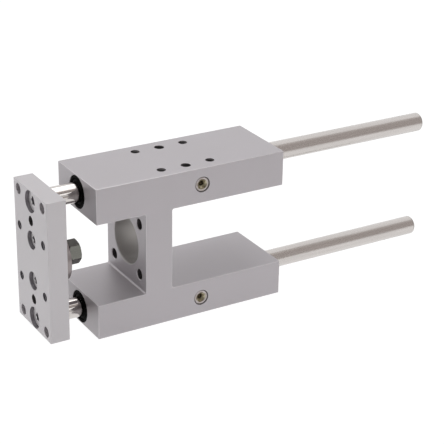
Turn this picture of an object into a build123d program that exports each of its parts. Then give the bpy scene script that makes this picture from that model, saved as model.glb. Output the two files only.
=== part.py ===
from build123d import *
import os

# Guide unit for a 32 mm bore pneumatic cylinder with a 100 mm stroke, in millimetres.
# The origin is the centre of the cylinder's pilot bore, on the rear face of the web.
# +X points to the rear, along the cylinder and the free ends of the guide rods.
# -Y is the side with the grease nipples, and +Z is up.

# Housing: an H-shaped block, two rails joined by a web
body_length = 125.0
body_width = 50.0
body_height = 95.0
rail_height = 22.0
web_thickness = 17.5
cylinder_bay_length = 76.0
inner_corner_size = 1.0
edge_chamfer = 0.3

# Cylinder connection in the web
pilot_diameter = 30.0
pilot_chamfer = 0.5
cylinder_hole_pitch = 32.5
cylinder_hole_diameter = 6.6

# Guide rods, seated on the front plate; the inset is from a rail's outer face to the rod's axis
rod_diameter = 12.0
rod_inset = 10.5
rod_overhang = 121.5
rod_end_chamfer = 1.0

# Plain bushes and wiper rings in the rails
bush_wall = 3.0
bush_length = 30.0
wiper_diameter = 20.0
wiper_width = 4.5
wiper_recess = 0.2

# Threaded and dowel holes in the upper rail's outer face
rail_hole_pitch_across = 32.5
rail_hole_pitch_along = 16.25
rail_thread_depth = 14.0
rail_dowel_depth = 10.0
m6_tap_drill = 5.0
dowel_diameter = 6.0

# Grease nipples, pressed into the rails' near side
nipple_position = 20.0
nipple_recess_diameter = 9.0
nipple_recess_depth = 2.2
nipple_flange_diameter = 8.6
nipple_flange_thickness = 1.4
nipple_shank_diameter = 6.0
nipple_shank_length = 7.0
nipple_funnel_diameter = 6.4
nipple_funnel_depth = 2.0
grease_passage_diameter = 3.0

# Front plate; its end margins are from the plate's ends to the rods' axes and to the corner holes
plate_gap = 17.3
plate_rod_margin = 7.0
plate_hole_margin = 5.0
plate_width = 45.0
plate_thickness = 12.0
plate_edge_chamfer = 0.2
plate_column_pitch = 32.5
plate_corner_hole_diameter = 6.6
plate_inner_pitch = 32.5
plate_dowel_pitch = 50.0

# Rod screws, M8 with a low head
rod_screw_size = 8.0
rod_screw_length = 20.0
rod_screw_head_diameter = 12.8
rod_screw_head_height = 5.0
rod_screw_socket = 5.0
rod_screw_socket_depth = 3.0
rod_screw_hole_diameter = 9.0
rod_counterbore_diameter = 13.4
rod_counterbore_depth = 7.0
rod_thread_depth = 20.0

# Coupling screws, M6 with a cylinder head
coupling_screw_size = 6.0
coupling_screw_pitch = 26.0
coupling_screw_head_diameter = 10.0
coupling_screw_head_height = 6.0
coupling_screw_socket = 5.0
coupling_screw_socket_depth = 3.0
coupling_screw_hole_diameter = 6.6
coupling_counterbore_diameter = 11.0
coupling_counterbore_depth = 8.0

# Floating coupling for the cylinder's piston rod
flange_thickness = 6.0
flange_radius = 15.5
flange_ear_radius = 5.75
flange_mouth_diameter = 15.0
thrust_disc_thickness = 0.8
coupling_collar_diameter = 17.0
coupling_collar_thickness = 2.8
coupling_float = 0.5
coupling_neck_diameter = 12.0
coupling_neck_gap = 3.2
coupling_hex_flats = 13.0
coupling_hex_length = 7.2
coupling_hex_turn = 10.0
coupling_tap_drill = 8.75
coupling_thread_chamfer = 0.7

# Fits, as clearances on the radius or at an end
running_clearance = 0.03
lip_clearance = 0.05
seat_clearance = 0.02
end_clearance = 0.05

# Places that follow from the sizes above
rear_x = cylinder_bay_length
front_x = rear_x - body_length
web_front_x = -web_thickness
middle_x = (rear_x + front_x) / 2
side_y = body_width / 2
top_z = body_height / 2
rail_inner_z = top_z - rail_height
rod_z = top_z - rod_inset
bush_diameter = rod_diameter + 2 * bush_wall
wiper_seat_depth = wiper_width + wiper_recess
plate_rear_x = front_x - plate_gap
plate_front_x = plate_rear_x - plate_thickness
plate_height = 2 * (rod_z + plate_rod_margin)
plate_corner_pitch = plate_height - 2 * plate_hole_margin
rod_rear_x = rear_x + rod_overhang
flange_rear_x = plate_rear_x + flange_thickness
collar_x = plate_rear_x + thrust_disc_thickness + end_clearance
rod_heights = {"upper": rod_z, "lower": -rod_z}


def turned_x(points, x, direction, y=0.0, z=0.0):
    """A turned shape about a line along X: points are (radius, distance from x)."""
    plane = Plane(origin=(x, y, z), x_dir=(0, 0, 1), z_dir=(0, direction, 0))
    return revolve(plane * make_face(Polyline(*points, close=True)), Axis((x, y, z), (1, 0, 0)))


def bar_x(diameter, x_from, x_to, y=0.0, z=0.0):
    """A round bar, or the cutter of a plain hole, along X between two places."""
    start = Plane(origin=(x_from, y, z), x_dir=(0, 1, 0), z_dir=(1, 0, 0))
    return extrude(start * Circle(diameter / 2), x_to - x_from)


def drilled_down(diameter, depth, x, y):
    """The cutter of a blind hole into the upper rail's outer face."""
    inward = Plane(origin=(x, y, top_z), x_dir=(1, 0, 0), z_dir=(0, 0, -1))
    return extrude(inward * Circle(diameter / 2), depth)


def corners(pitch_a, pitch_b):
    """The four corners of a rectangle centred on zero."""
    return [(a * pitch_a / 2, b * pitch_b / 2) for a in (-1, 1) for b in (-1, 1)]


def make_h_block():
    """The housing's blank: an H profile with sloped inner corners and broken edges."""
    rail = (rail_inner_z + top_z) / 2
    rails = Pos(middle_x, rail) * Rectangle(body_length, rail_height)
    rails += Pos(middle_x, -rail) * Rectangle(body_length, rail_height)
    profile = rails + Pos(web_front_x / 2, 0) * Rectangle(web_thickness, 2 * rail_inner_z + rail_height)
    inner = [v for v in profile.vertices() if front_x + inner_corner_size < v.X < rear_x - inner_corner_size]
    profile = chamfer(inner, inner_corner_size)
    block = extrude(Plane.XZ * profile, body_width / 2, both=True)
    ends = block.edges().filter_by_position(Axis.X, front_x, front_x)
    ends += block.edges().filter_by_position(Axis.X, rear_x, rear_x)
    sides = block.edges().filter_by_position(Axis.Y, -side_y, -side_y)
    sides += block.edges().filter_by_position(Axis.Y, side_y, side_y)
    return chamfer(list(set(ends + sides)), edge_chamfer)


def nipple_turned(points, z):
    """A turned shape about a nipple's axis: points are (radius, depth from the near side)."""
    near = Plane(origin=(nipple_position, -side_y, z), x_dir=(1, 0, 0), z_dir=(0, 0, 1))
    return revolve(near * make_face(Polyline(*points, close=True)),
                   Axis((nipple_position, -side_y, z), (0, 1, 0)))


def nipple_pocket(z):
    """The stepped drilling from the near side to the grease chamber round the rod."""
    recess = nipple_recess_diameter / 2
    shank = nipple_shank_diameter / 2 + seat_clearance
    passage = grease_passage_diameter / 2
    shank_end = nipple_recess_depth + nipple_shank_length + end_clearance
    chamber = side_y - bush_diameter / 4
    return nipple_turned([(0, 0), (recess, 0), (recess, nipple_recess_depth), (shank, nipple_recess_depth),
                          (shank, shank_end), (passage, shank_end), (passage, chamber), (0, chamber)], z)


def guide_bore(z):
    """The bore through a rail: bush seats with the grease chamber between, and two wiper seats."""
    bush_seat = bush_diameter / 2 + seat_clearance
    wiper_seat = wiper_diameter / 2 + seat_clearance
    return turned_x([(0, 0), (wiper_seat, 0), (wiper_seat, wiper_seat_depth), (bush_seat, wiper_seat_depth),
                     (bush_seat, body_length - wiper_seat_depth), (wiper_seat, body_length - wiper_seat_depth),
                     (wiper_seat, body_length), (0, body_length)], front_x, 1, 0, z)


def rail_holes():
    """Four threaded holes with a dowel hole between each pair, in the upper rail's outer face."""
    holes = []
    for y in (-rail_hole_pitch_across / 2, rail_hole_pitch_across / 2):
        for x in (middle_x - rail_hole_pitch_along, middle_x + rail_hole_pitch_along):
            holes.append(drilled_down(m6_tap_drill, rail_thread_depth, x, y))
        holes.append(drilled_down(dowel_diameter, rail_dowel_depth, middle_x, y))
    return holes


def make_housing():
    """The housing: the H block with its pilot bore, guide bores and all its holes."""
    pilot = pilot_diameter / 2
    mouth = pilot + pilot_chamfer
    cuts = [turned_x([(0, 0), (mouth, 0), (pilot, pilot_chamfer), (pilot, web_thickness),
                      (0, web_thickness)], web_front_x, 1)]
    for y, z in corners(cylinder_hole_pitch, cylinder_hole_pitch):
        cuts.append(bar_x(cylinder_hole_diameter, web_front_x, 0, y, z))
    for z in rod_heights.values():
        cuts.append(guide_bore(z))
        cuts.append(nipple_pocket(z))
    return make_h_block() - cuts - rail_holes()


def make_nipple(z):
    """A funnel-type grease nipple, shut by its ball at the bottom of the funnel."""
    flange = nipple_flange_diameter / 2
    shank = nipple_shank_diameter / 2
    funnel = nipple_funnel_diameter / 2
    face = nipple_recess_depth - nipple_flange_thickness
    end = nipple_recess_depth + nipple_shank_length
    return nipple_turned([(0, face + nipple_funnel_depth), (funnel, face), (flange, face),
                          (flange, nipple_recess_depth), (shank, nipple_recess_depth), (shank, end),
                          (0, end)], z)


def make_bush(end_x, inward, z):
    """A sintered bronze bush, pressed in behind its wiper ring."""
    bore = rod_diameter / 2 + running_clearance
    outer = bush_diameter / 2
    start = wiper_seat_depth
    end = start + bush_length
    return turned_x([(bore, start), (outer, start), (outer, end), (bore, end)], end_x, inward, 0, z)


def make_wiper(end_x, inward, z):
    """A rubber wiper ring, pressed into its seat a little below the rail's face."""
    lip = rod_diameter / 2 + lip_clearance
    outer = wiper_diameter / 2
    return turned_x([(lip, wiper_recess), (outer, wiper_recess), (outer, wiper_seat_depth),
                     (lip, wiper_seat_depth)], end_x, inward, 0, z)


def screw_hole(counterbore, depth, hole, z):
    """The cutters of a counterbored screw hole through the front plate."""
    return [bar_x(counterbore, plate_front_x, plate_front_x + depth, 0, z),
            bar_x(hole, plate_front_x, plate_rear_x, 0, z)]


def make_plate():
    """The front plate, with its screw seats and mounting holes."""
    plate = Pos((plate_front_x + plate_rear_x) / 2, 0, 0) * Box(plate_thickness, plate_width, plate_height)
    plate = chamfer(plate.edges(), plate_edge_chamfer)
    cuts = []
    for z in rod_heights.values():
        cuts += screw_hole(rod_counterbore_diameter, rod_counterbore_depth, rod_screw_hole_diameter, z)
    for z in (-coupling_screw_pitch / 2, coupling_screw_pitch / 2):
        cuts += screw_hole(coupling_counterbore_diameter, coupling_counterbore_depth,
                           coupling_screw_hole_diameter, z)
    for z in (-plate_dowel_pitch / 2, plate_dowel_pitch / 2):
        cuts.append(bar_x(dowel_diameter, plate_front_x, plate_rear_x, 0, z))
    for y, z in corners(plate_column_pitch, plate_corner_pitch):
        cuts.append(bar_x(plate_corner_hole_diameter, plate_front_x, plate_rear_x, y, z))
    for y, z in corners(plate_column_pitch, plate_inner_pitch):
        cuts.append(bar_x(m6_tap_drill, plate_front_x, plate_rear_x, y, z))
    return plate - cuts


def make_rod(z):
    """A hardened and chromed guide rod, tapped at the plate and chamfered at its free end."""
    radius = rod_diameter / 2
    thread = rod_screw_size / 2 + seat_clearance
    length = rod_rear_x - plate_rear_x
    return turned_x([(thread, 0), (radius, 0), (radius, length - rod_end_chamfer),
                     (radius - rod_end_chamfer, length), (0, length), (0, rod_thread_depth),
                     (thread, rod_thread_depth)], plate_rear_x, 1, 0, z)


def make_screw(size, length, head_diameter, head_height, socket, socket_depth, seat_x, z):
    """A socket head screw along X whose head seats at seat_x."""
    face_x = seat_x - head_height
    screw = bar_x(head_diameter, face_x, seat_x, 0, z) + bar_x(size, seat_x, seat_x + length, 0, z)
    face = Plane(origin=(face_x, 0, z), x_dir=(0, 1, 0), z_dir=(1, 0, 0))
    hexagon = RegularPolygon(socket / 2, 6, major_radius=False)
    return screw - extrude(face * hexagon, socket_depth)


def make_rod_screws():
    """The two low-head screws that hold the plate on the rods."""
    seat_x = plate_front_x + rod_counterbore_depth
    return [make_screw(rod_screw_size, rod_screw_length, rod_screw_head_diameter, rod_screw_head_height,
                       rod_screw_socket, rod_screw_socket_depth, seat_x, z) for z in rod_heights.values()]


def make_coupling_screws():
    """The two screws that hold the coupling flange on the plate."""
    seat_x = plate_front_x + coupling_counterbore_depth
    length = flange_rear_x - seat_x
    return [make_screw(coupling_screw_size, length, coupling_screw_head_diameter, coupling_screw_head_height,
                       coupling_screw_socket, coupling_screw_socket_depth, seat_x, z)
            for z in (coupling_screw_pitch / 2, -coupling_screw_pitch / 2)]


def make_flange():
    """The flange with two ears that traps the coupling's collar against the plate."""
    face = Plane(origin=(plate_rear_x, 0, 0), x_dir=(0, 1, 0), z_dir=(1, 0, 0))
    ear = coupling_screw_pitch / 2
    outline = make_hull([*Circle(flange_radius).edges(),
                         *(Pos(0, ear) * Circle(flange_ear_radius)).edges(),
                         *(Pos(0, -ear) * Circle(flange_ear_radius)).edges()])
    pocket_depth = thrust_disc_thickness + coupling_collar_thickness + 2 * end_clearance
    pocket_diameter = coupling_collar_diameter + 2 * coupling_float
    cuts = [bar_x(pocket_diameter, plate_rear_x, plate_rear_x + pocket_depth),
            bar_x(flange_mouth_diameter, plate_rear_x, flange_rear_x)]
    for z in (-ear, ear):
        cuts.append(bar_x(coupling_screw_size + 2 * seat_clearance, plate_rear_x, flange_rear_x, 0, z))
    return extrude(face * outline, flange_thickness) - cuts


def make_thrust_disc():
    """The hardened disc that the coupling's collar pushes on."""
    diameter = coupling_collar_diameter + 2 * coupling_float - 2 * end_clearance
    return bar_x(diameter, plate_rear_x, plate_rear_x + thrust_disc_thickness)


def make_collar():
    """The collar fixed on the coupling's neck once the neck is through the flange."""
    collar = bar_x(coupling_collar_diameter, collar_x, collar_x + coupling_collar_thickness)
    return collar - bar_x(coupling_neck_diameter + 2 * seat_clearance, collar_x,
                          collar_x + coupling_collar_thickness)


def make_coupling():
    """The floating coupling: a neck through the flange and a tapped hexagon behind it."""
    hex_x = flange_rear_x + coupling_neck_gap
    end_x = hex_x + coupling_hex_length
    face = Plane(origin=(hex_x, 0, 0), x_dir=(0, 1, 0), z_dir=(1, 0, 0))
    hexagon = Rot(0, 0, coupling_hex_turn) * RegularPolygon(coupling_hex_flats / 2, 6, major_radius=False)
    coupling = bar_x(coupling_neck_diameter, collar_x, hex_x)
    coupling += extrude(face * hexagon, coupling_hex_length)
    thread = coupling_tap_drill / 2
    length = end_x - collar_x
    return coupling - turned_x([(0, 0), (thread + coupling_thread_chamfer, 0), (thread, coupling_thread_chamfer),
                                (thread, length), (0, length)], end_x, -1)


def save(name, *solids):
    """Write one node, a single solid or a group of separate ones."""
    shape = solids[0] if len(solids) == 1 else Compound(children=list(solids))
    export_step(shape, f"parts/{name}.step")


os.makedirs("parts", exist_ok=True)

save("housing", make_housing())
for level, height in rod_heights.items():
    save(f"front_bush_{level}", make_bush(front_x, 1, height))
    save(f"rear_bush_{level}", make_bush(rear_x, -1, height))
    save(f"front_wiper_{level}", make_wiper(front_x, 1, height))
    save(f"rear_wiper_{level}", make_wiper(rear_x, -1, height))
    save(f"grease_nipple_{level}", make_nipple(height))
    save(f"guide_rod_{level}", make_rod(height))
save("front_plate", make_plate())
save("rod_screws", *make_rod_screws())
save("coupling_screws", *make_coupling_screws())
save("coupling_flange", make_flange())
save("thrust_disc", make_thrust_disc())
save("coupling_collar", make_collar())
save("coupling_nut", make_coupling())
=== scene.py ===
import math

import bmesh
import bpy
from mathutils import Matrix, Vector


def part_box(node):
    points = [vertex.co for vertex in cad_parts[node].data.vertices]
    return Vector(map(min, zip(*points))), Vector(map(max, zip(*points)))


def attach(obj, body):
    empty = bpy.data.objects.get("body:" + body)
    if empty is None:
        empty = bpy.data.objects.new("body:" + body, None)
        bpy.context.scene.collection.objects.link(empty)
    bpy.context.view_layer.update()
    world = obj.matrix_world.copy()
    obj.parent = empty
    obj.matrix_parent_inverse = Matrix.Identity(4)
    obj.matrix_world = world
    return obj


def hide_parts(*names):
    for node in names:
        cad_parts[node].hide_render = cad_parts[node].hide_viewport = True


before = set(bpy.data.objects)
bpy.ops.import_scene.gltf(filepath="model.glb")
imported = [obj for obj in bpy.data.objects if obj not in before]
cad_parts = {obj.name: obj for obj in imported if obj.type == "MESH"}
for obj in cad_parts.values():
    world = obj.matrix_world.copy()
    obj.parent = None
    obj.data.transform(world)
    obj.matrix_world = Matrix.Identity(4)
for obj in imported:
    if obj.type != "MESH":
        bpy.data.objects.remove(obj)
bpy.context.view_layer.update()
scene = bpy.context.scene
scene.view_settings.view_transform = "Standard"


# Camera. It stands in front, to the left and a little above, with a long lens, as the photograph
# was taken. The numbers come from fitting the object's corners, with no lens shift.
camera_data = bpy.data.cameras.new("camera")
camera_data.sensor_width = 36.0
camera_data.lens = 116.4
camera_data.clip_start = 0.05
camera = bpy.data.objects.new("camera", camera_data)
scene.collection.objects.link(camera)
camera_place = Vector((-0.371016, -0.690838, 0.361569))
camera_right = Vector((0.858391, -0.512714, 0.017028))
camera_down = Vector((-0.197585, -0.361066, -0.911368))
camera_ahead = Vector((0.473419, 0.778945, -0.411240))
camera.matrix_world = Matrix.Translation(camera_place) @ Matrix(
    (camera_right, -camera_down, -camera_ahead)).transposed().to_4x4()
scene.camera = camera


# Studio floor and surroundings. A plain white sweep, lit so evenly that the photograph shows it as
# pure white; the floor still takes the soft shadow of the rail that lies on it.
def linear(colour):
    """An sRGB hex colour as linear red, green, blue and full alpha."""
    parts = [int(colour[i:i + 2], 16) / 255 for i in (1, 3, 5)]
    return tuple(p / 12.92 if p <= 0.04045 else ((p + 0.055) / 1.055) ** 2.4 for p in parts) + (1.0,)


def add_node(tree, kind, settings=None, inputs=None):
    """Adds a node, with its settings and what its sockets hold or link to."""
    made = tree.nodes.new(kind)
    for name, value in (settings or {}).items():
        setattr(made, name, value)
    for name, value in (inputs or {}).items():
        if isinstance(value, bpy.types.NodeSocket):
            tree.links.new(value, made.inputs[name])
        else:
            made.inputs[name].default_value = value
    return made


def seen_directly(tree):
    """1 for rays from the camera, a mirror or glass, and 0 for rays that only carry light."""
    path = add_node(tree, "ShaderNodeLightPath")
    mirror = add_node(tree, "ShaderNodeMath", {"operation": "MAXIMUM"},
                      {0: path.outputs["Is Glossy Ray"], 1: path.outputs["Is Transmission Ray"]})
    return add_node(tree, "ShaderNodeMath", {"operation": "MAXIMUM"},
                    {0: path.outputs["Is Camera Ray"], 1: mirror.outputs[0]}).outputs[0]


world = bpy.data.worlds.new("studio")
world.use_nodes = True
world.node_tree.nodes.clear()
world_seen = seen_directly(world.node_tree)
room_light = add_node(world.node_tree, "ShaderNodeBackground", None,
                      {"Color": linear("#ffffff"), "Strength": 0.22})
room_white = add_node(world.node_tree, "ShaderNodeBackground", None,
                      {"Color": linear("#ffffff"), "Strength": 1.0})
room_mix = add_node(world.node_tree, "ShaderNodeMixShader", None,
                    {0: world_seen, 1: room_light.outputs[0], 2: room_white.outputs[0]})
add_node(world.node_tree, "ShaderNodeOutputWorld", None, {"Surface": room_mix.outputs[0]})
scene.world = world

floor_paint = bpy.data.materials.new("white_floor")
floor_paint.use_nodes = True
floor_paint.node_tree.nodes.clear()
floor_seen = seen_directly(floor_paint.node_tree)
floor_share = add_node(floor_paint.node_tree, "ShaderNodeMath", {"operation": "MULTIPLY"},
                       {0: floor_seen, 1: 0.86})
floor_matt = add_node(floor_paint.node_tree, "ShaderNodeBsdfDiffuse", None, {"Color": linear("#f4f4f4")})
floor_white = add_node(floor_paint.node_tree, "ShaderNodeEmission", None,
                       {"Color": linear("#ffffff"), "Strength": 1.14})
floor_mix = add_node(floor_paint.node_tree, "ShaderNodeMixShader", None,
                     {0: floor_share.outputs[0], 1: floor_matt.outputs[0], 2: floor_white.outputs[0]})
add_node(floor_paint.node_tree, "ShaderNodeOutputMaterial", None, {"Surface": floor_mix.outputs[0]})

floor_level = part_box("housing")[0].z
floor_half_width = 3.0
floor_mesh = bpy.data.meshes.new("floor")
floor_bm = bmesh.new()
bmesh.ops.create_grid(floor_bm, x_segments=1, y_segments=1, size=floor_half_width)
bmesh.ops.translate(floor_bm, vec=(0, 0, floor_level), verts=floor_bm.verts)
floor_bm.to_mesh(floor_mesh)
floor_bm.free()
floor_mesh.materials.append(floor_paint)
floor = bpy.data.objects.new("floor", floor_mesh)
scene.collection.objects.link(floor)


# Studio lamps. Large soft boxes: two overhead, one level with the plate in front of it and one on
# the near side. The plate keeps the front light off the rails' ends and the web behind it. The near
# one only fills, so polished steel doesn't mirror it.
def soft_box(name, place, size, watts, mirrored=True):
    """A square lamp that faces the object's middle."""
    lamp_data = bpy.data.lights.new(name, "AREA")
    lamp_data.shape = "SQUARE"
    lamp_data.size = size
    lamp_data.energy = watts
    lamp = bpy.data.objects.new(name, lamp_data)
    lamp.location = place
    object_middle = Vector((0.03, 0, 0))
    lamp.rotation_euler = (object_middle - Vector(place)).to_track_quat("-Z", "Y").to_euler()
    lamp.visible_glossy = mirrored
    scene.collection.objects.link(lamp)


soft_box("lamp_above", (0.1, -0.2, 1.5), 1.2, 5.0)
soft_box("lamp_above_far", (0.1, 0.6, 1.4), 1.0, 4.7)
soft_box("lamp_front", (-1.8, 0.15, 0.3), 0.8, 4.6)
soft_box("lamp_near", (0.55, -2.0, 0.4), 0.8, 11.3, mirrored=False)


# Studio cards. Grey cards stand behind the camera, hang above it and lie on the floor before it, as
# photographers use to give polished steel darker bands. White cards and a dark one hang where the
# short lengths of rod beside the plate and the hexagon mirror them, and a dark one at the left keeps
# glare off the rails' ends as the rods mirror them. Only shiny surfaces show any of the cards.
def card(name, colour, strength, width, height, place, lean):
    """A flat card that shines by itself. Its top leans from upright towards +Y, in degrees."""
    paint = bpy.data.materials.new(f"{name}_paint")
    paint.use_nodes = True
    paint.node_tree.nodes.clear()
    shine = add_node(paint.node_tree, "ShaderNodeEmission", None,
                     {"Color": linear(colour), "Strength": strength})
    add_node(paint.node_tree, "ShaderNodeOutputMaterial", None, {"Surface": shine.outputs[0]})
    card_bm = bmesh.new()
    bmesh.ops.create_grid(card_bm, x_segments=1, y_segments=1, size=0.5)
    bmesh.ops.scale(card_bm, vec=(width, height, 1.0), verts=card_bm.verts)
    bmesh.ops.rotate(card_bm, cent=(0, 0, 0), matrix=Matrix.Rotation(math.radians(90 - lean), 3, "X"),
                     verts=card_bm.verts)
    bmesh.ops.translate(card_bm, vec=place, verts=card_bm.verts)
    card_mesh = bpy.data.meshes.new(name)
    card_bm.to_mesh(card_mesh)
    card_bm.free()
    card_mesh.materials.append(paint)
    made = bpy.data.objects.new(name, card_mesh)
    scene.collection.objects.link(made)
    made.visible_camera = False
    made.visible_diffuse = False
    made.visible_shadow = False


card("near_card", "#b9b2af", 1.0, 9.0, 3.2, (1.5, -2.2, 1.1), 20)
card("upper_card", "#b9b2af", 1.0, 5.0, 0.8, (3.5, -1.3, 2.75), 67)
card("top_card", "#c3bdba", 1.0, 4.6, 1.0, (3.7, -0.45, 2.9), 90)
card("floor_card", "#bfb8b5", 1.0, 9.0, 2.2, (1.5, -1.45, floor_level + 0.001), 90)
card("white_card", "#ffffff", 1.6, 0.8, 0.65, (0.85, -2.0, 1.1), 0)
card("low_white_card", "#ffffff", 0.78, 0.8, 0.6, (0.85, -2.0, 0.42), 0)
card("dark_card", "#3a3432", 1.0, 0.8, 0.2, (0.95, -1.9, 1.56), 0)
card("left_card", "#3a3432", 1.0, 2.6, 1.8, (-1.1, -1.9, 0.86), 0)


# Housing. One block of aluminium, milled to an H: two rails for the guide rods, joined by the web
# that carries the cylinder. It is bead-blasted and clear anodised, which gives an even, satin grey
# with no glint. Broken edges, rounded inner corners and hole mouths are painted lighter, a painted
# highlight, and drilled holes darker, a painted shade.
def anodised_aluminium(name, colour, warmer, grain_mm, roughness):
    """Blasted and anodised aluminium: satin, with an even grain and a faint cloudiness."""
    # The grain is drawn coarser than the real one, which is too fine to show.
    cloud_mm = 38.0
    metal = bpy.data.materials.new(name)
    metal.use_nodes = True
    tree = metal.node_tree
    shader = tree.nodes["Principled BSDF"]
    place = add_node(tree, "ShaderNodeTexCoord").outputs["Object"]
    grain = add_node(tree, "ShaderNodeTexNoise", None,
                     {"Vector": place, "Scale": 1000 / grain_mm, "Detail": 3.0, "Roughness": 0.6})
    cloud = add_node(tree, "ShaderNodeTexNoise", None,
                     {"Vector": place, "Scale": 1000 / cloud_mm, "Detail": 2.0, "Roughness": 0.5})
    tint = add_node(tree, "ShaderNodeMix", {"data_type": "RGBA"},
                    {"Factor": cloud.outputs["Fac"], 6: linear(colour), 7: linear(warmer)})
    sheen = add_node(tree, "ShaderNodeMapRange", None,
                     {"Value": grain.outputs["Fac"], "To Min": roughness - 0.05, "To Max": roughness + 0.05})
    bump = add_node(tree, "ShaderNodeBump", None,
                    {"Height": grain.outputs["Fac"], "Strength": 0.12, "Distance": 0.0001})
    shader.inputs["Metallic"].default_value = 0.35
    tree.links.new(tint.outputs[2], shader.inputs["Base Color"])
    tree.links.new(sheen.outputs["Result"], shader.inputs["Roughness"])
    tree.links.new(bump.outputs["Normal"], shader.inputs["Normal"])
    return metal


# The places of the finishes in a milled piece's list: on its faces, down a drilled hole, down a bored
# or sunk one, and on a broken edge. The hole place is painted darker, a painted shade, and so is the
# sunk place in the plate; the edge place is painted lighter, a painted highlight.
face_finish, hole_slot, sunk_slot, edge_highlight_slot = range(4)
m6_radius, m6_pitch = 3.0, 1.0


def turned(bm, outline, place, along, steps=64, finish=face_finish):
    """A turned solid: outline is (radius, distance) pairs, place is its zero and along its axis."""
    axis = Vector(along)
    out = Vector((0, 0, 1)) if abs(axis.z) < 0.5 else Vector((0, 1, 0))
    points = [bm.verts.new(Vector(place) + out * r + axis * d) for r, d in outline]
    edges = [bm.edges.new((a, b)) for a, b in zip(points, points[1:])]
    if outline[0][0] > 0 or outline[-1][0] > 0:
        edges.append(bm.edges.new((points[-1], points[0])))
    before = set(bm.faces)
    bmesh.ops.spin(bm, geom=points + edges, cent=place, axis=axis, dvec=(0, 0, 0), angle=2 * math.pi,
                   steps=steps, use_merge=True)
    made = [f for f in bm.faces if f not in before]
    bmesh.ops.remove_doubles(bm, verts=list({v for f in made for v in f.verts}), dist=1e-5)
    made = [f for f in bm.faces if f not in before]
    bmesh.ops.recalc_face_normals(bm, faces=made)
    for face in made:
        face.material_index = finish


def hole(bm, radius, depth, place, along, chamfer=0.35, through=False, finish=hole_slot):
    """The cutter of a drilled hole with a broken mouth; a through hole is broken at both ends."""
    drill_point = radius * 0.58
    outline = [(0, -1), (radius + chamfer + 1, -1), (radius, chamfer)]
    if through:
        outline += [(radius, depth - chamfer), (radius + chamfer + 1, depth + 1), (0, depth + 1)]
    else:
        outline += [(radius, depth), (0, depth + drill_point)]
    before = set(bm.faces)
    turned(bm, outline, place, along, 48, finish)
    # The mouth slopes at 45 degrees and is painted lighter like the other broken edges, a painted highlight.
    for face in bm.faces:
        if face not in before and 0.6 < abs(face.normal.dot(Vector(along))) < 0.8:
            face.material_index = edge_highlight_slot


def tapped_hole(bm, depth, place, along, through=False, finish=hole_slot):
    """The cutter of an M6 tapped hole, whose mouth is narrower than the thread's outside."""
    mouth, drill_point = 2.7, 1.7
    outline = [(0, -1), (mouth, -1), (mouth, 0.4), (m6_radius, 0.7)]
    if through:
        outline += [(m6_radius, depth - 0.7), (mouth, depth - 0.4), (mouth, depth + 1), (0, depth + 1)]
    else:
        outline += [(m6_radius, depth), (0, depth + drill_point)]
    turned(bm, outline, place, along, 48, finish)


def thread(bm, radius, pitch, length, place, along, steps=24, finish=hole_slot):
    """The ridge of a tapped thread, wound down a hole that has the thread's outside radius."""
    axis = Vector(along)
    out = Vector((0, 0, 1)) if abs(axis.z) < 0.5 else Vector((0, 1, 0))
    start = Vector(place) + axis * pitch * 0.7
    ridge_height, half_crest, half_root = pitch * 0.54, pitch * 0.08, pitch * 0.44
    into_wall = 0.04
    inside, outside = out * (radius - ridge_height), out * (radius + into_wall)
    corners = [start + outside - axis * half_root, start + inside - axis * half_crest,
               start + inside + axis * half_crest, start + outside + axis * half_root]
    before = set(bm.faces)
    first = bm.faces.new([bm.verts.new(c) for c in corners])
    turns = int(length / pitch) - 1
    bmesh.ops.spin(bm, geom=[first, *first.edges, *first.verts], cent=place, axis=axis,
                   dvec=axis * pitch / steps, angle=2 * math.pi * turns, steps=steps * turns)
    made = [f for f in bm.faces if f not in before]
    bmesh.ops.recalc_face_normals(bm, faces=made)
    for face in made:
        face.material_index = finish


def carved(name, blank, *cutters):
    """The blank with its holes cut, as one mesh. All sizes are still in millimetres."""
    objects = []
    for part in (blank, *cutters):
        mesh = bpy.data.meshes.new(name)
        part.to_mesh(mesh)
        part.free()
        # With a place for each finish, the cut leaves every face its own.
        for _ in range(edge_highlight_slot + 1):
            mesh.materials.append(None)
        objects.append(bpy.data.objects.new(name, mesh))
        scene.collection.objects.link(objects[-1])
    for cutter in objects[1:]:
        modifier = objects[0].modifiers.new("cut", "BOOLEAN")
        modifier.operation = "DIFFERENCE"
        modifier.solver = "EXACT"
        modifier.object = cutter
    bpy.context.view_layer.update()
    result = bmesh.new()
    result.from_mesh(bpy.data.meshes.new_from_object(
        objects[0].evaluated_get(bpy.context.evaluated_depsgraph_get())))
    for item in objects:
        bpy.data.objects.remove(item)
    return result


def finished(name, bm, finishes, body, slot, *replaced):
    """Makes the piece from its millimetre mesh, smooths its round faces and hands it to its body."""
    same_place, smooth_angle = 1e-4, math.radians(20)
    bmesh.ops.remove_doubles(bm, verts=bm.verts, dist=same_place)
    bmesh.ops.dissolve_degenerate(bm, edges=bm.edges, dist=same_place)
    bmesh.ops.scale(bm, vec=(0.001, 0.001, 0.001), verts=bm.verts)
    mesh = bpy.data.meshes.new(name)
    bm.to_mesh(mesh)
    bm.free()
    for finish in finishes:
        mesh.materials.append(finish)
    mesh.shade_smooth()
    mesh.set_sharp_from_angle(angle=smooth_angle)
    piece = bpy.data.objects.new(name, mesh)
    scene.collection.objects.link(piece)
    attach(piece, body)
    if replaced:
        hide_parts(*replaced)
    return piece


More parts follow.
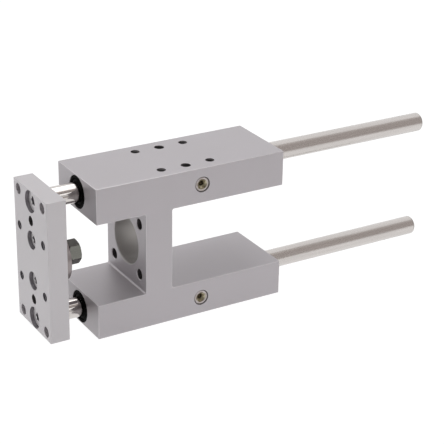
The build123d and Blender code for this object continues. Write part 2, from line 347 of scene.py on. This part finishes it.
housing_metal = anodised_aluminium("blasted_anodised_aluminium", "#c1bcc0", "#bdb8bb", 0.45, 0.42)
# Drilled holes are painted darker than the faces, a painted shade.
hole_shade_metal = anodised_aluminium("anodised_aluminium_painted_hole_shade", "#6e6a6a", "#646060", 0.3, 0.4)
bored_metal = anodised_aluminium("bored_anodised_aluminium", "#c0bdba", "#b9b6b3", 0.3, 0.5)
# Broken edges, hole mouths and rounded inner corners are painted lighter than the faces, a painted
# highlight.
edge_highlight_metal = anodised_aluminium("anodised_aluminium_painted_edge_highlight", "#d6d1d4", "#d0cbce", 0.3, 0.38)
rail_front, rail_rear = -49.0, 76.0
rail_top, rail_inner, rail_side = 47.5, 25.5, 25.0
web_front, web_rear = -17.5, 0.0
rail_length, web_thickness = rail_rear - rail_front, web_rear - web_front
inner_corner_round, edge_break = 1.0, 0.4
pilot_radius, bolt_hole_radius, bolt_offset = 15.0, 3.3, 16.25
dowel_radius, dowel_x = 3.0, 13.5
tapped_xs = (dowel_x - bolt_offset, dowel_x + bolt_offset)
rod_height = 37.0
wiper_seat, bush_seat, wiper_seat_depth = 10.02, 9.02, 4.7
nipple_x, recess_radius, recess_depth = 20.0, 4.5, 2.2
shank_seat, shank_seat_depth, grease_passage = 3.02, 9.25, 1.5

block = bmesh.new()
h_outline = [(rail_front, -rail_top), (rail_rear, -rail_top), (rail_rear, -rail_inner),
             (web_rear, -rail_inner), (web_rear, rail_inner), (rail_rear, rail_inner), (rail_rear, rail_top),
             (rail_front, rail_top), (rail_front, rail_inner), (web_front, rail_inner),
             (web_front, -rail_inner), (rail_front, -rail_inner)]
h_face = block.faces.new([block.verts.new((x, -rail_side, z)) for x, z in h_outline])
h_walls = bmesh.ops.extrude_face_region(block, geom=[h_face])
bmesh.ops.translate(block, vec=(0, 2 * rail_side, 0),
                    verts=[v for v in h_walls["geom"] if isinstance(v, bmesh.types.BMVert)])
bmesh.ops.recalc_face_normals(block, faces=block.faces)
inner_corners = [e for e in block.edges if abs(e.verts[0].co.y - e.verts[1].co.y) > 1
                 and rail_front + 1 < e.verts[0].co.x < rail_rear - 1]
rounded = bmesh.ops.bevel(block, geom=inner_corners, offset=inner_corner_round, segments=4, profile=0.5,
                          affect="EDGES", material=-1)
# The rounded inner corners are painted lighter, a painted highlight.
for face in rounded["faces"]:
    face.material_index = edge_highlight_slot
outer_edges = [e for e in block.edges if len(e.link_faces) == 2 and e.calc_face_angle() > math.radians(50)]
broken = bmesh.ops.bevel(block, geom=outer_edges, offset=edge_break, segments=2, profile=0.5,
                         affect="EDGES", material=-1)
# The broken outer edges are painted lighter, a painted highlight.
for face in broken["faces"]:
    face.material_index = edge_highlight_slot

bores = bmesh.new()
pilot_outline = [(0, -1), (pilot_radius + 1.5, -1), (pilot_radius, 0.5), (pilot_radius, web_thickness - 0.5),
                 (pilot_radius + 1.5, web_thickness + 1), (0, web_thickness + 1)]
turned(bores, pilot_outline, (web_front, 0, 0), (1, 0, 0), 96, sunk_slot)
for side in (-bolt_offset, bolt_offset):
    for height in (-bolt_offset, bolt_offset):
        hole(bores, bolt_hole_radius, web_thickness, (web_front, side, height), (1, 0, 0), 0.4, True)
    for x in tapped_xs:
        tapped_hole(bores, 14.0, (x, side, rail_top), (0, 0, -1))
    hole(bores, dowel_radius, 10.0, (dowel_x, side, rail_top), (0, 0, -1), 0.2)
nipple_seats = bmesh.new()
guide_outline = [(0, -1), (wiper_seat, -1), (wiper_seat, wiper_seat_depth), (bush_seat, wiper_seat_depth),
                 (bush_seat, rail_length - wiper_seat_depth), (wiper_seat, rail_length - wiper_seat_depth),
                 (wiper_seat, rail_length + 1), (0, rail_length + 1)]
seat_outline = [(0, -1), (recess_radius + 1.4, -1), (recess_radius, 0.4), (recess_radius, recess_depth),
                (shank_seat, recess_depth), (shank_seat, shank_seat_depth),
                (grease_passage, shank_seat_depth), (grease_passage, 20.5), (0, 20.5)]
for height in (-rod_height, rod_height):
    turned(bores, guide_outline, (rail_front, 0, height), (1, 0, 0), 72)
    turned(nipple_seats, seat_outline, (nipple_x, -rail_side, height), (0, 1, 0), 48, hole_slot)
housing = carved("housing", block, bores, nipple_seats)
for side in (-bolt_offset, bolt_offset):
    for x in tapped_xs:
        thread(housing, m6_radius, m6_pitch, 12.0, (x, side, rail_top), (0, 0, -1))
finished("housing_block", housing, [housing_metal, hole_shade_metal, bored_metal, edge_highlight_metal], "housing",
         "housing_aluminium", "housing")


# Front plate. Flat aluminium bar, milled all over and finished like the housing, a shade lighter.
# Two large and two smaller counterbores take the screws; the rest are tapped and plain holes for the
# load, and two reamed holes for dowel pins. It moves with the guide rods.
plate_metal = anodised_aluminium("anodised_plate_aluminium", "#d0cccf", "#ccc8ca", 0.4, 0.42)
# Counterbores, the plate's tapped holes and the screw sockets are painted darker, a painted shade.
sunk_shade_metal = anodised_aluminium("anodised_aluminium_painted_sunk_shade", "#98949a", "#8e8a8d", 0.3, 0.4)
plate_front, plate_rear = -78.3, -66.3
plate_thickness, plate_width, plate_height = 12.0, 45.0, 88.0
behind_plate = plate_thickness + 1
rod_counterbore, rod_seat_depth, rod_screw_hole = 6.7, 7.0, 4.5
flange_counterbore, flange_seat_depth, flange_screw_hole = 5.5, 8.0, 3.3
flange_screw_height, plate_dowel_height, load_hole_height = 13, 25, 39
plate = bmesh.new()
bmesh.ops.create_cube(plate, size=1.0)
bmesh.ops.scale(plate, vec=(plate_thickness, plate_width, plate_height), verts=plate.verts)
bmesh.ops.translate(plate, vec=((plate_front + plate_rear) / 2, 0, 0), verts=plate.verts)
bmesh.ops.bevel(plate, geom=list(plate.edges), offset=0.2, segments=2, profile=0.5, affect="EDGES",
                material=-1)
plate_holes = bmesh.new()
rod_seat_outline = [(0, -1), (rod_counterbore, -1), (rod_counterbore, rod_seat_depth),
                    (rod_screw_hole, rod_seat_depth), (rod_screw_hole, behind_plate), (0, behind_plate)]
flange_seat_outline = [(0, -1), (flange_counterbore + 1.2, -1), (flange_counterbore, 0.2),
                       (flange_counterbore, flange_seat_depth), (flange_screw_hole, flange_seat_depth),
                       (flange_screw_hole, behind_plate), (0, behind_plate)]
for height in (-rod_height, rod_height):
    turned(plate_holes, rod_seat_outline, (plate_front, 0, height), (1, 0, 0), 64, sunk_slot)
for height in (-flange_screw_height, flange_screw_height):
    turned(plate_holes, flange_seat_outline, (plate_front, 0, height), (1, 0, 0), 64, sunk_slot)
for height in (-plate_dowel_height, plate_dowel_height):
    hole(plate_holes, dowel_radius, plate_thickness, (plate_front, 0, height), (1, 0, 0), 0.15, True)
for side in (-bolt_offset, bolt_offset):
    for height in (-load_hole_height, load_hole_height):
        hole(plate_holes, bolt_hole_radius, plate_thickness, (plate_front, side, height), (1, 0, 0), 0.2,
             True, face_finish)
    for height in (-bolt_offset, bolt_offset):
        tapped_hole(plate_holes, plate_thickness, (plate_front, side, height), (1, 0, 0), True, sunk_slot)
plate = carved("plate", plate, plate_holes)
for side in (-bolt_offset, bolt_offset):
    for height in (-bolt_offset, bolt_offset):
        thread(plate, m6_radius, m6_pitch, plate_thickness, (plate_front, side, height), (1, 0, 0), 24,
               sunk_slot)
finished("front_plate_bar", plate, [plate_metal, hole_shade_metal, sunk_shade_metal, edge_highlight_metal], "carriage",
         "plate_aluminium", "front_plate")


# Guide rods. Hardened steel bar, hard chromed and polished lengthwise, which leaves a bright mirror
# with soft streaks, duller towards the free end. The streaks are drawn coarser than the real marks,
# so that they show. The free end has a turned chamfer, bare and darker; the other end is tapped.
def turned_steel(name, colour, roughness):
    """Bright turned steel: a metal with faint rings about the cylinder's axis."""
    # The rings stand a few millimetres apart, far coarser than real turning marks, so that they show.
    steel = bpy.data.materials.new(name)
    steel.use_nodes = True
    tree = steel.node_tree
    place = add_node(tree, "ShaderNodeTexCoord").outputs["Object"]
    rings = add_node(tree, "ShaderNodeTexWave", {"wave_type": "RINGS", "rings_direction": "X"},
                     {"Vector": place, "Scale": 1000 / 12.0, "Distortion": 0.4, "Detail": 2.0})
    rough = add_node(tree, "ShaderNodeMapRange", None,
                     {"Value": rings.outputs["Fac"], "To Min": roughness - 0.05, "To Max": roughness + 0.07})
    bump = add_node(tree, "ShaderNodeBump", None,
                    {"Height": rings.outputs["Fac"], "Strength": 0.15, "Distance": 0.0001})
    shader = tree.nodes["Principled BSDF"]
    shader.inputs["Base Color"].default_value = linear(colour)
    shader.inputs["Metallic"].default_value = 1.0
    tree.links.new(rough.outputs["Result"], shader.inputs["Roughness"])
    tree.links.new(bump.outputs["Normal"], shader.inputs["Normal"])
    return steel


chamfer_steel = turned_steel("bare_turned_steel", "#8c827d", 0.4)
chrome = bpy.data.materials.new("ground_hard_chrome")
chrome.use_nodes = True
chrome_tree = chrome.node_tree
chrome_place = add_node(chrome_tree, "ShaderNodeTexCoord").outputs["Object"]
chrome_stretch = add_node(chrome_tree, "ShaderNodeMapping", None,
                          {"Vector": chrome_place, "Scale": (1000 / 45.0, 1000 / 1.2, 1000 / 1.2)})
chrome_streaks = add_node(chrome_tree, "ShaderNodeTexNoise", None,
                          {"Vector": chrome_stretch.outputs[0], "Scale": 1.0, "Detail": 3.0})
chrome_rough = add_node(chrome_tree, "ShaderNodeMapRange", None,
                        {"Value": chrome_streaks.outputs["Fac"], "To Min": 0.06, "To Max": 0.16})
chrome_tint = add_node(chrome_tree, "ShaderNodeMix", {"data_type": "RGBA"},
                       {"Factor": chrome_streaks.outputs["Fac"], 6: linear("#d6d1ce"), 7: linear("#bdb8b5")})
chrome_split = add_node(chrome_tree, "ShaderNodeSeparateXYZ", None, {"Vector": chrome_place})
chrome_dull = add_node(chrome_tree, "ShaderNodeMapRange", None,
                       {"Value": chrome_split.outputs["X"], "From Min": 0.0, "From Max": 0.07,
                        "To Max": 0.16})
chrome_satin = add_node(chrome_tree, "ShaderNodeMath", {"operation": "ADD"},
                        {0: chrome_rough.outputs["Result"], 1: chrome_dull.outputs["Result"]})
chrome_shader = chrome_tree.nodes["Principled BSDF"]
chrome_shader.inputs["Metallic"].default_value = 1.0
chrome_tree.links.new(chrome_tint.outputs[2], chrome_shader.inputs["Base Color"])
chrome_tree.links.new(chrome_satin.outputs[0], chrome_shader.inputs["Roughness"])
rod_radius, rod_length = 6.0, 263.8
screw_hole, screw_hole_depth = 4.02, 20
rod_outline = [(0, screw_hole_depth), (screw_hole, screw_hole_depth), (screw_hole, 0.5), (4.5, 0), (5.8, 0),
               (rod_radius, 0.2), (rod_radius, rod_length - 1.3), (5.93, rod_length - 1.05),
               (5.1, rod_length - 0.1), (4.9, rod_length), (0, rod_length)]
rod_levels = (("upper", rod_height), ("lower", -rod_height))
for level, height in rod_levels:
    rod = bmesh.new()
    turned(rod, rod_outline, (plate_rear, 0, height), (1, 0, 0), 96)
    for face in rod.faces:
        face.material_index = int(face.calc_center_median().x > plate_rear + rod_length - 1.25)
    finished(f"guide_rod_{level}_bar", rod, [chrome, chamfer_steel], "carriage", "chromed_rod",
             f"guide_rod_{level}")


# Wiper rings. Black nitrile rubber, moulded, pressed into a seat at each end of each rail. A thin
# lip drags on the rod and a groove behind it lets the lip give. Matt, and black even where lit, with
# a grain that is drawn coarser than the real one.
rubber = bpy.data.materials.new("moulded_nitrile_rubber")
rubber.use_nodes = True
rubber_tree = rubber.node_tree
rubber_place = add_node(rubber_tree, "ShaderNodeTexCoord").outputs["Object"]
rubber_grain = add_node(rubber_tree, "ShaderNodeTexNoise", None,
                        {"Vector": rubber_place, "Scale": 1000 / 0.8, "Detail": 2.0})
rubber_rough = add_node(rubber_tree, "ShaderNodeMapRange", None,
                        {"Value": rubber_grain.outputs["Fac"], "To Min": 0.5, "To Max": 0.7})
rubber_shader = rubber_tree.nodes["Principled BSDF"]
rubber_shader.inputs["Base Color"].default_value = linear("#030202")
rubber_shader.inputs["Specular IOR Level"].default_value = 0.03
rubber_tree.links.new(rubber_rough.outputs["Result"], rubber_shader.inputs["Roughness"])
wiper_lip = [(rod_radius + 0.06, 0.4), (6.3, 0.2), (7.4, 0.45)]
wiper_groove = [(7.7, 0.9), (8.1, 0.9), (8.4, 0.35)]
wiper_back = [(8.7, 0.2), (9.8, 0.2), (10.0, 0.4), (10.0, 4.6), (9.9, wiper_seat_depth),
              (7.2, wiper_seat_depth), (6.9, 2.6)]
for level, height in rod_levels:
    for end, end_x, inward in (("front", rail_front, 1), ("rear", rail_rear, -1)):
        wiper = bmesh.new()
        turned(wiper, wiper_lip + wiper_groove + wiper_back, (end_x, 0, height), (inward, 0, 0), 80)
        finished(f"{end}_wiper_{level}_ring", wiper, [rubber], "housing", "wiper_rubber",
                 f"{end}_wiper_{level}")


# Bushes. Sintered bronze, pressed in behind the wipers and hidden by them and by the rods.
# The pressed powder leaves a dull brown-gold with dark pores, where the oil sits. They are drawn
# larger than the real ones.
bronze = bpy.data.materials.new("sintered_bronze")
bronze.use_nodes = True
bronze_tree = bronze.node_tree
bronze_place = add_node(bronze_tree, "ShaderNodeTexCoord").outputs["Object"]
bronze_pores = add_node(bronze_tree, "ShaderNodeTexVoronoi", None,
                        {"Vector": bronze_place, "Scale": 1000 / 0.5})
bronze_tint = add_node(bronze_tree, "ShaderNodeMix", {"data_type": "RGBA"},
                       {"Factor": bronze_pores.outputs["Distance"], 6: linear("#5c4226"),
                        7: linear("#a67c46")})
bronze_shader = bronze_tree.nodes["Principled BSDF"]
bronze_shader.inputs["Metallic"].default_value = 1.0
bronze_shader.inputs["Roughness"].default_value = 0.45
bronze_tree.links.new(bronze_tint.outputs[2], bronze_shader.inputs["Base Color"])
for level in ("upper", "lower"):
    for end in ("front", "rear"):
        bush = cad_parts[f"{end}_bush_{level}"]
        bush.data.materials.clear()
        bush.data.materials.append(bronze)


# Grease nipples. Turned steel, zinc plated and passivated to a pale yellow-grey, pressed flush into
# a recess on the near side. The funnel guides the grease gun to a ball that shuts the passage, and
# old grease darkens it in patches.
def passivated_zinc(name, colour, stain, patch_mm):
    """Zinc plating with patches of a second colour, soft at their edges."""
    zinc = bpy.data.materials.new(name)
    zinc.use_nodes = True
    tree = zinc.node_tree
    place = add_node(tree, "ShaderNodeTexCoord").outputs["Object"]
    cloud = add_node(tree, "ShaderNodeTexNoise", None,
                     {"Vector": place, "Scale": 1000 / patch_mm, "Detail": 3.0})
    patches = add_node(tree, "ShaderNodeMapRange", None,
                       {"Value": cloud.outputs["Fac"], "From Min": 0.4, "From Max": 0.6})
    tint = add_node(tree, "ShaderNodeMix", {"data_type": "RGBA"},
                    {"Factor": patches.outputs["Result"], 6: linear(colour), 7: linear(stain)})
    rough = add_node(tree, "ShaderNodeMapRange", None,
                     {"Value": cloud.outputs["Fac"], "To Min": 0.25, "To Max": 0.5})
    shader = tree.nodes["Principled BSDF"]
    shader.inputs["Metallic"].default_value = 0.6
    tree.links.new(rough.outputs["Result"], shader.inputs["Roughness"])
    tree.links.new(tint.outputs[2], shader.inputs["Base Color"])
    return zinc


flange_zinc = passivated_zinc("pale_passivated_zinc", "#c4bcbc", "#b3aaa4", 2.0)
funnel_zinc = passivated_zinc("greasy_passivated_zinc", "#bbb39a", "#776c52", 1.6)
# The ball is coloured dark brown, a painted shade at the bottom of the funnel.
ball_shade_steel = bpy.data.materials.new("ball_steel_painted_shade")
ball_shade_steel.use_nodes = True
ball_shader = ball_shade_steel.node_tree.nodes["Principled BSDF"]
ball_shader.inputs["Base Color"].default_value = linear("#4a4030")
ball_shader.inputs["Metallic"].default_value = 1.0
ball_shader.inputs["Roughness"].default_value = 0.3
nipple_shank = [(0, 9.2), (3.0, 9.2), (3.0, recess_depth)]
nipple_flange = [(4.3, recess_depth), (4.3, 0.6), (4.15, 0.45), (3.3, 0.45)]
nipple_funnel = [(3.15, 0.55), (1.6, 1.9), (1.5, 2.3), (1.5, 4.8), (0, 4.8)]
ball_radius, ball_depth = 1.35, 3.5
for level, height in rod_levels:
    nipple = bmesh.new()
    turned(nipple, nipple_shank + nipple_flange + nipple_funnel, (nipple_x, -rail_side, height), (0, 1, 0),
           56)
    for face in nipple.faces:
        middle = face.calc_center_median()
        inward = math.hypot(middle.x - nipple_x, middle.z - height) < 3.2
        face.material_index = int(inward and middle.y < 5 - rail_side)
    finished(f"grease_nipple_{level}_funnel", nipple, [flange_zinc, funnel_zinc], "housing",
             "nipple_zinc", f"grease_nipple_{level}")
    ball = bmesh.new()
    bmesh.ops.create_uvsphere(ball, u_segments=20, v_segments=12, radius=ball_radius)
    bmesh.ops.translate(ball, vec=(nipple_x, -rail_side + ball_depth, height), verts=ball.verts)
    finished(f"nipple_ball_{level}", ball, [ball_shade_steel], "housing", "nipple_zinc")


# Screws. Steel socket head screws, cold headed and bright zinc plated: two low-head M8 that pull
# the plate onto the rods, and two M6 for the coupling's flange. All sit below the plate's face.
screw_zinc = bpy.data.materials.new("bright_zinc_plate")
screw_zinc.use_nodes = True
screw_tree = screw_zinc.node_tree
screw_place = add_node(screw_tree, "ShaderNodeTexCoord").outputs["Object"]
screw_cloud = add_node(screw_tree, "ShaderNodeTexNoise", None,
                       {"Vector": screw_place, "Scale": 1000 / 1.5, "Detail": 3.0})
screw_rough = add_node(screw_tree, "ShaderNodeMapRange", None,
                       {"Value": screw_cloud.outputs["Fac"], "To Min": 0.3, "To Max": 0.45})
screw_shader = screw_tree.nodes["Principled BSDF"]
screw_shader.inputs["Base Color"].default_value = linear("#d6d3d4")
screw_shader.inputs["Metallic"].default_value = 0.6
screw_tree.links.new(screw_rough.outputs["Result"], screw_shader.inputs["Roughness"])


upright_to_x = Matrix.Rotation(math.pi / 2, 4, "Y")


def socket_screws(radius, head_radius, head, length, flats, socket_depth, seat_x, heights):
    """Socket head screws with a broken head rim and a six-sided socket with a sunk mouth."""
    face_x = seat_x - head
    key_radius = flats / 3 ** 0.5
    screw_outline = [(0, 0), (head_radius - 0.5, 0), (head_radius - 0.15, 0.15), (head_radius, 0.5),
                     (head_radius, head), (radius, head), (radius, head + length - 0.6),
                     (radius - 0.6, head + length), (0, head + length)]
    mouth_outline = [(0, -1), (flats / 2 + 1.2, -1), (flats / 2 - 0.1, 0.4), (0, 0.4)]
    screws, keys, mouths = bmesh.new(), bmesh.new(), bmesh.new()
    for height in heights:
        turned(screws, screw_outline, (face_x, 0, height), (1, 0, 0))
        key_place = Matrix.Translation((face_x + (socket_depth - 1) / 2, 0, height))
        bmesh.ops.create_cone(keys, cap_ends=True, segments=6, radius1=key_radius, radius2=key_radius,
                              depth=socket_depth + 1, matrix=key_place @ upright_to_x)
        turned(mouths, mouth_outline, (face_x, 0, height), (1, 0, 0), 48)
    # A socket's walls are painted darker than the head, a painted shade, as the second finish in its list.
    for face in keys.faces:
        face.material_index = 1
    return carved("screws", screws, keys, mouths)


rod_screws = socket_screws(radius=4.0, head_radius=6.4, head=5.0, length=20.0, flats=5.0, socket_depth=3.0,
                           seat_x=plate_front + rod_seat_depth, heights=(rod_height, -rod_height))
finished("rod_screws_pair", rod_screws, [screw_zinc, sunk_shade_metal], "carriage", "screw_steel", "rod_screws")
coupling_screws = socket_screws(radius=3.0, head_radius=5.0, head=6.0, length=10.0, flats=5.0,
                                socket_depth=3.0, seat_x=plate_front + flange_seat_depth,
                                heights=(flange_screw_height, -flange_screw_height))
finished("coupling_screws_pair", coupling_screws, [screw_zinc, sunk_shade_metal], "carriage", "screw_steel",
         "coupling_screws")


# Coupling flange. Turned from steel bar, with two ears for its screws. It holds the coupling's
# collar against the plate with some room all round. Turning marks run round it.
flange_steel = turned_steel("turned_flange_steel", "#958d8d", 0.35)
flange_radius, flange_thickness, ear_radius = 15.5, 6.0, 5.75
hollow_radius, hollow_depth, mouth_radius = 9.0, 3.7, 7.5
ear_screw_hole = 3.02
flange = bmesh.new()
for radius, height, segments in ((flange_radius, 0, 96), (ear_radius, flange_screw_height, 48),
                                 (ear_radius, -flange_screw_height, 48)):
    flange_place = Matrix.Translation((plate_rear + flange_thickness / 2, 0, height))
    bmesh.ops.create_cone(flange, cap_ends=False, segments=segments, radius1=radius, radius2=radius,
                          depth=flange_thickness, matrix=flange_place @ upright_to_x)
hull = bmesh.ops.convex_hull(flange, input=flange.verts)
inside = {g for g in hull["geom_interior"] + hull["geom_unused"] if isinstance(g, bmesh.types.BMVert)}
bmesh.ops.delete(flange, geom=list(inside), context="VERTS")
bmesh.ops.dissolve_limit(flange, angle_limit=0.01, verts=flange.verts, edges=flange.edges)
rims = [e for e in flange.edges if len(e.link_faces) == 2 and e.calc_face_angle() > 1.2]
bmesh.ops.bevel(flange, geom=rims, offset=0.3, segments=2, profile=0.5, affect="EDGES", material=-1)
flange_bores = bmesh.new()
hollow_outline = [(0, -1), (hollow_radius, -1), (hollow_radius, hollow_depth), (mouth_radius, hollow_depth),
                  (mouth_radius, flange_thickness - 0.3), (mouth_radius + 1.1, flange_thickness + 0.8),
                  (0, flange_thickness + 0.8)]
ear_hole_outline = [(0, -1), (ear_screw_hole, -1), (ear_screw_hole, flange_thickness - 0.3),
                    (ear_screw_hole + 1.08, flange_thickness + 0.8), (0, flange_thickness + 0.8)]
turned(flange_bores, hollow_outline, (plate_rear, 0, 0), (1, 0, 0), 96)
for height in (-flange_screw_height, flange_screw_height):
    turned(flange_bores, ear_hole_outline, (plate_rear, 0, height), (1, 0, 0), 48)
finished("coupling_flange_ring", carved("flange", flange, flange_bores), [flange_steel], "carriage",
         "flange_steel", "coupling_flange")


# Thrust disc and collar. Hardened and ground steel, hidden inside the flange. The collar is fixed on
# the coupling's neck and pushes on the disc, so only a grey edge shows down the flange's mouth.
hard_steel = turned_steel("hardened_ground_steel", "#8f8f92", 0.28)
for name in ("thrust_disc", "coupling_collar"):
    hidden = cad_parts[name]
    hidden.data.materials.clear()
    hidden.data.materials.append(hard_steel)


# Coupling nut. A neck and a hexagon in one, turned from hexagonal steel bar and tapped M10 fine
# for the cylinder's piston rod. The flats are drawn and bright, the corners chamfered by turning.
nut_steel = turned_steel("bright_drawn_steel", "#82827c", 0.2)
hex_x, hex_end = -57.1, -49.9
across_flats = 13.0
nut_corner = across_flats / 3 ** 0.5
nut_turn = math.radians(10)
neck_radius, neck_length = 6.0, 8.35
m10_radius, m10_fine_pitch = 5.0, 1.25
nut = bmesh.new()
nut_place = Matrix.Translation(((hex_x + hex_end) / 2, 0, 0)) @ Matrix.Rotation(nut_turn, 4, "X")
bmesh.ops.create_cone(nut, cap_ends=True, segments=6, radius1=nut_corner, radius2=nut_corner,
                      depth=hex_end - hex_x, matrix=nut_place @ upright_to_x)
bmesh.ops.bevel(nut, geom=list(nut.edges), offset=0.12, segments=1, profile=0.5, affect="EDGES", material=-1)
# A ring round the hexagon, whose slopes take the corners off at both ends.
corner_cut = bmesh.new()
turned(corner_cut, [(5.43, -0.5), (12.0, -0.5), (12.0, 7.7), (5.8, 7.7), (7.6, 6.65), (7.6, 0.75)],
       (hex_x, 0, 0), (1, 0, 0), 96)
nut_bore = bmesh.new()
turned(nut_bore, [(0, -9), (m10_radius, -9), (m10_radius, 6.6), (m10_radius + 1, 7.6), (0, 7.6)],
       (hex_x, 0, 0), (1, 0, 0), 64)
nut = carved("nut", nut, corner_cut, nut_bore)
neck_outline = [(m10_radius, 0.1), (m10_radius, -neck_length), (neck_radius, -neck_length),
                (neck_radius, 0.1)]
turned(nut, neck_outline, (hex_x, 0, 0), (1, 0, 0), 64)
thread(nut, m10_radius, m10_fine_pitch, 14.0, (hex_end, 0, 0), (-1, 0, 0), 32)
# The thread has the second finish in the list, here the same steel.
finished("coupling_hexagon", nut, [nut_steel, nut_steel], "coupling", "coupling_steel", "coupling_nut")
